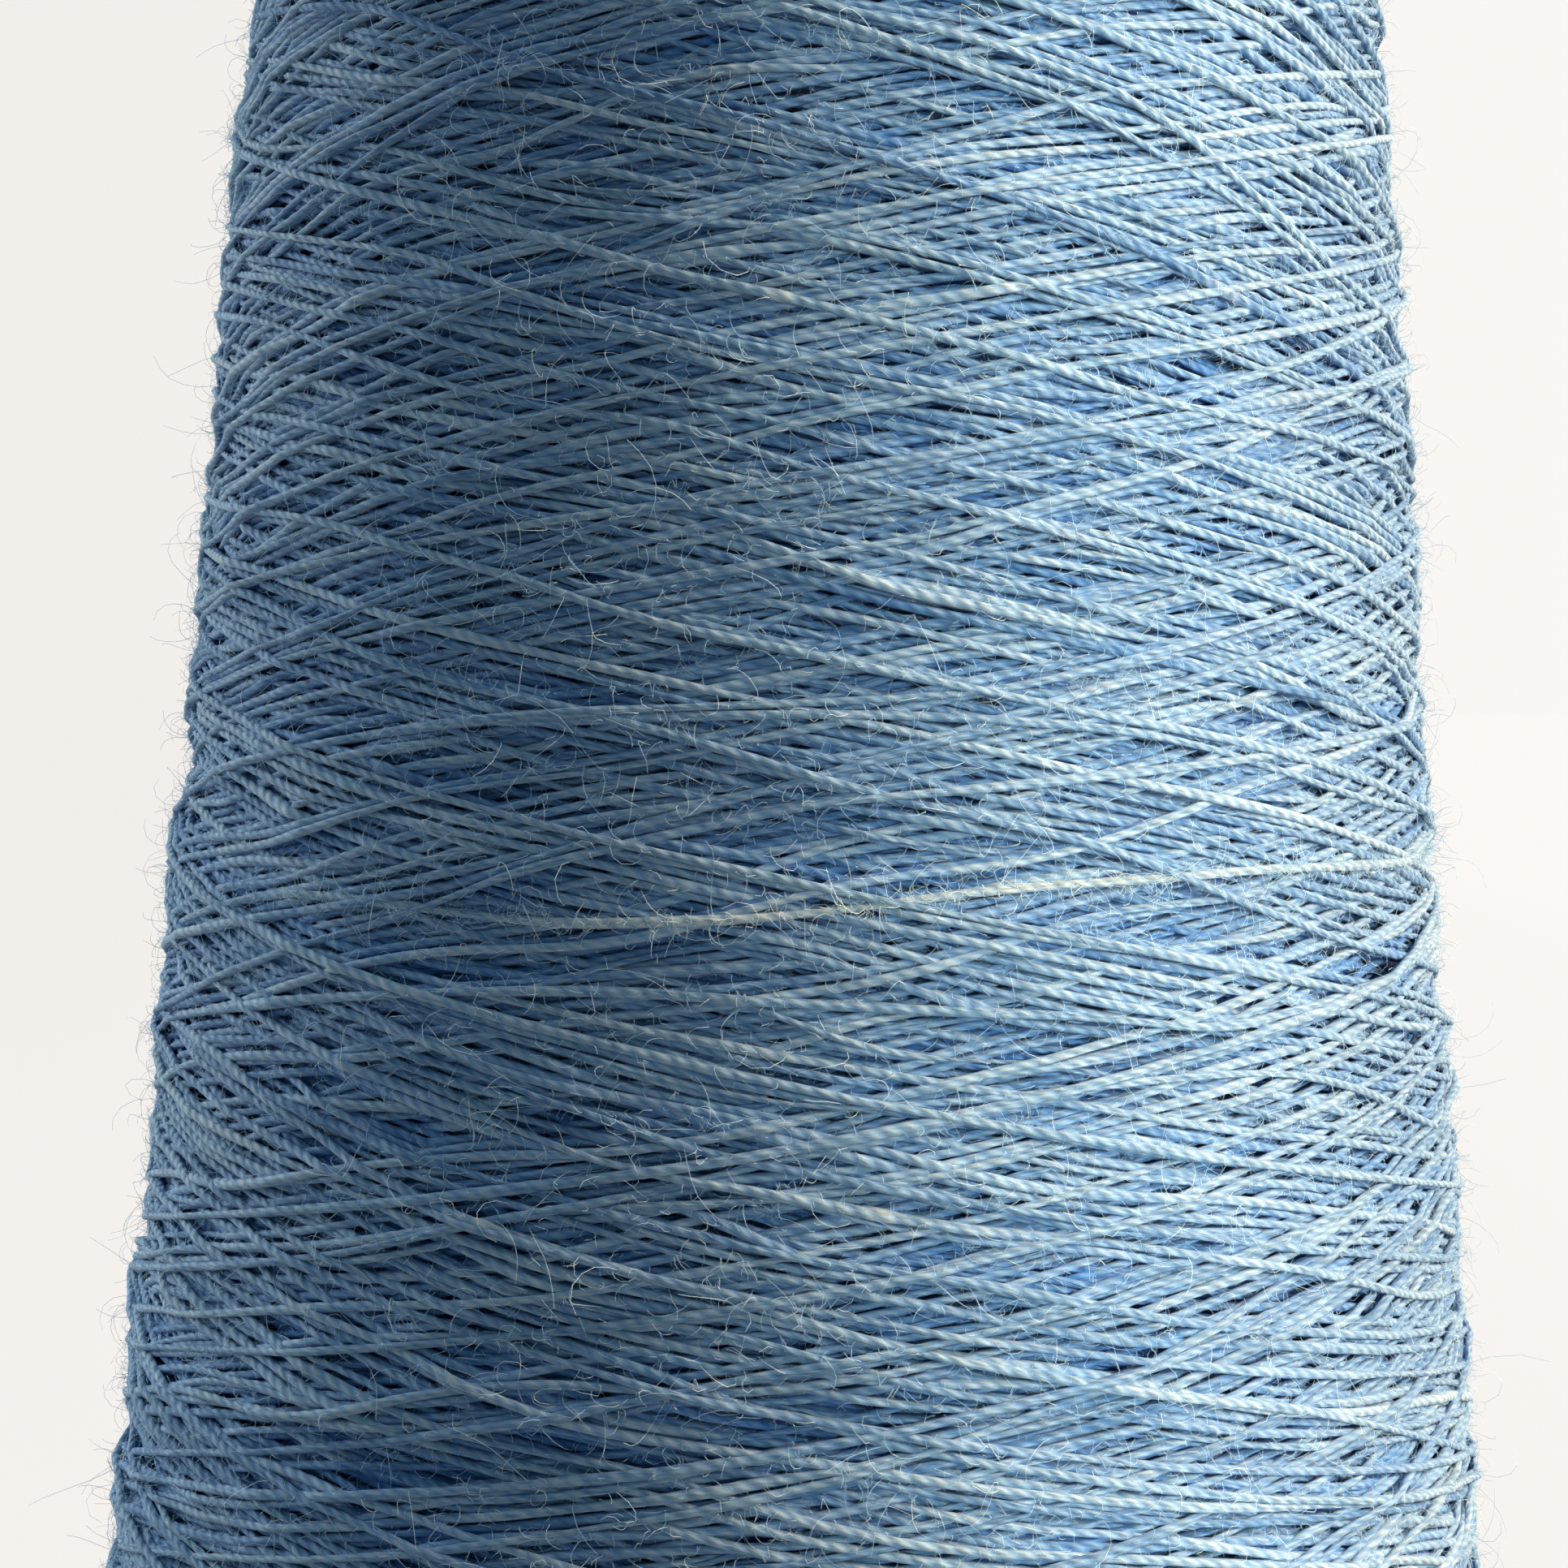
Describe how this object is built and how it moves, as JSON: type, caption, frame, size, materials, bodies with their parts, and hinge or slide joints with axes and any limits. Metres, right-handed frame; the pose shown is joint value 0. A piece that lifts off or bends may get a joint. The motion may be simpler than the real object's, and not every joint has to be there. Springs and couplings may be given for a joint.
{
  "type": "cone of thread",
  "caption": "Cone of fine two-ply thread, cross-wound on a tapered board cone with a rolled nose, facing sheet and transfer tail.",
  "frame": {"origin": "on the cone's axis at the plane of its base rim, which it stands on", "axes": "+Z along the axis from the base rim to the nose; +X through the overlap of the facing sheet, and the catch notch is on -X"},
  "size_m": [0.1007, 0.0994, 0.17],
  "materials": {
    "board": "matte",
    "facing": "matte",
    "inner_thread": "matte",
    "thread": "matte"
  },
  "bodies": {
    "root": {"board_cone": "board", "facing_sheet": "facing", "transfer_tail": "thread", "inner_layers": "inner_thread", "last_strokes": "thread"}
  },
  "joints": []
}
